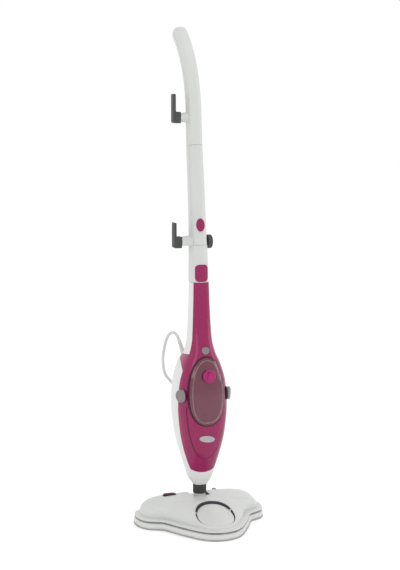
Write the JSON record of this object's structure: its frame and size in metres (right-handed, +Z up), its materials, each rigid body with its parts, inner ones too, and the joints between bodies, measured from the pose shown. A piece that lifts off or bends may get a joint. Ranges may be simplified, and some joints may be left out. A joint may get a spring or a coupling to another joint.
{
  "type": "steam mop",
  "caption": "Upright steam mop with a triangular floor head and pad, tilting swivel neck, boiler housing with clear water tank, two-piece pole and cranked handle with cord hooks",
  "frame": {"origin": "on the floor under the neck's swivel axis, on the pad's flat underside", "axes": "+Z up along the pole, -Y towards the front apex of the head, +X to the right seen from the front"},
  "size_m": [0.31, 0.3346, 1.1548],
  "materials": {
    "white_gloss": "smooth moulded ABS",
    "magenta_gloss": "glossy moulded ABS",
    "magenta_dark": "satin moulded ABS",
    "smoked_tank": "tinted clear polycarbonate",
    "dark_plastic": "fine textured nylon",
    "grey_button": "satin moulded ABS",
    "rubber": "ribbed rubber",
    "rim": "soft seal",
    "pad_fabric": "microfibre pile",
    "hook_tape": "hook tape",
    "steel": "drawn",
    "brass": "machined",
    "board": "glass epoxy",
    "badge": "satin plated",
    "cord": "PVC sheath",
    "lens": "clear dark lens"
  },
  "bodies": {
    "floor_head": {"microfibre_pad": "pad_fabric", "hook_strip_left": "hook_tape", "hook_strip_right": "hook_tape", "rim_gasket": "rim", "base_plate": "dark_plastic", "hood_liner": "dark_plastic", "pivot_bracket_left": "dark_plastic", "pivot_bracket_right": "dark_plastic", "steam_manifold": "dark_plastic", "head_top_cover": "white_gloss", "front_hood": "white_gloss", "pedal_spring": "steel", "power_cord_lower": "cord", "cord_hank": "cord", "plug": "cord", "cord_tie": "rubber"},
    "foot_pedal": {"foot_pedal": "magenta_dark"},
    "lock_button": {"lock_button": "grey_button"},
    "neck": {"neck_yoke": "white_gloss", "tilt_axle": "steel", "swivel_collar": "rubber"},
    "housing": {"rear_shell": "white_gloss", "front_cover": "magenta_gloss", "shield_panel": "magenta_gloss", "tank_bezel": "magenta_dark", "tank_cradle": "magenta_dark", "boiler": "steel", "shell_screw_1": "steel", "shell_screw_2": "steel", "thermostat": "brass", "thermal_fuse": "brass", "pump": "dark_plastic", "outlet_spigot": "dark_plastic", "circuit_board": "board", "tank_socket": "rubber", "steam_hose": "rubber", "feed_hose": "hook_tape", "boiler_hose": "hook_tape", "indicator_lens": "lens", "badge": "badge", "cord_strain_relief": "cord", "power_cord_upper": "cord"},
    "tank": {"water_tank": "smoked_tank", "tank_valve": "rubber"},
    "tank_cap": {"tank_cap": "magenta_gloss"},
    "release_left": {"release_button_left": "grey_button"},
    "release_right": {"release_button_right": "grey_button"},
    "steam_button": {"steam_button": "grey_button"},
    "lower_pole": {"lower_tube": "white_gloss", "lower_spigot": "dark_plastic"},
    "pole_latch": {"pole_latch": "magenta_gloss"},
    "upper_pole": {"pole_rear_shell": "white_gloss", "pole_front_panel": "white_gloss", "handle_front": "white_gloss", "upper_spigot": "dark_plastic", "upper_cord_hook": "dark_plastic"},
    "pole_button": {"pole_button": "magenta_gloss"},
    "cord_hook": {"lower_cord_hook": "dark_plastic", "hook_knob": "dark_plastic"}
  },
  "joints": [
    {"name": "neck_tilt", "type": "hinge", "parent": "floor_head", "child": "neck", "pos_m": [0, 0, 0.042], "axis": [-1, 0, 0], "range_deg": [0, 65], "deforming": ["power_cord_lower"]},
    {"name": "neck_swivel", "type": "hinge", "parent": "neck", "child": "housing", "pos_m": [0, 0, 0.089], "axis": [0, 0, 1], "range_deg": [-60, 60], "deforming": ["power_cord_upper"]},
    {"name": "pedal_press", "type": "slide", "parent": "floor_head", "child": "foot_pedal", "axis": [0, 0, -1], "range_m": [0, 0.006], "stiffness_N_per_m": 900, "deforming": ["pedal_spring"]},
    {"name": "lock_press", "type": "slide", "parent": "floor_head", "child": "lock_button", "axis": [0, 0, -1], "range_m": [0, 0.003], "stiffness_N_per_m": 600},
    {"name": "tank_pull", "type": "slide", "parent": "housing", "child": "tank", "axis": [0, -1, 0], "range_m": [0, 0.08]},
    {"name": "cap_turn", "type": "hinge", "parent": "tank", "child": "tank_cap", "pos_m": [0, -0.072, 0.357], "axis": [0, 1, 0], "range_deg": [0, 90]},
    {"name": "release_left_press", "type": "slide", "parent": "housing", "child": "release_left", "axis": [0.866, 0.5, 0], "range_m": [0, 0.0015], "stiffness_N_per_m": 800},
    {"name": "release_right_press", "type": "slide", "parent": "housing", "child": "release_right", "axis": [-0.866, 0.5, 0], "range_m": [0, 0.0015], "stiffness_N_per_m": 800},
    {"name": "steam_press", "type": "slide", "parent": "housing", "child": "steam_button", "axis": [0, 1, 0], "range_m": [0, 0.003], "stiffness_N_per_m": 600},
    {"name": "lower_pole_pull", "type": "slide", "parent": "housing", "child": "lower_pole", "axis": [0, 0, 1], "range_m": [0, 0.05]},
    {"name": "latch_press", "type": "slide", "parent": "lower_pole", "child": "pole_latch", "axis": [0, 1, 0], "range_m": [0, 0.0015], "stiffness_N_per_m": 900},
    {"name": "upper_pole_pull", "type": "slide", "parent": "lower_pole", "child": "upper_pole", "axis": [0, 0.0733, 0.9973], "range_m": [0, 0.04]},
    {"name": "pole_button_press", "type": "slide", "parent": "upper_pole", "child": "pole_button", "axis": [0, 0.9959, -0.0903], "range_m": [0, 0.002], "stiffness_N_per_m": 700},
    {"name": "cord_hook_turn", "type": "hinge", "parent": "upper_pole", "child": "cord_hook", "pos_m": [-0.05, 0.0135, 0.659], "axis": [1, 0, 0], "range_deg": [0, 180]}
  ]
}
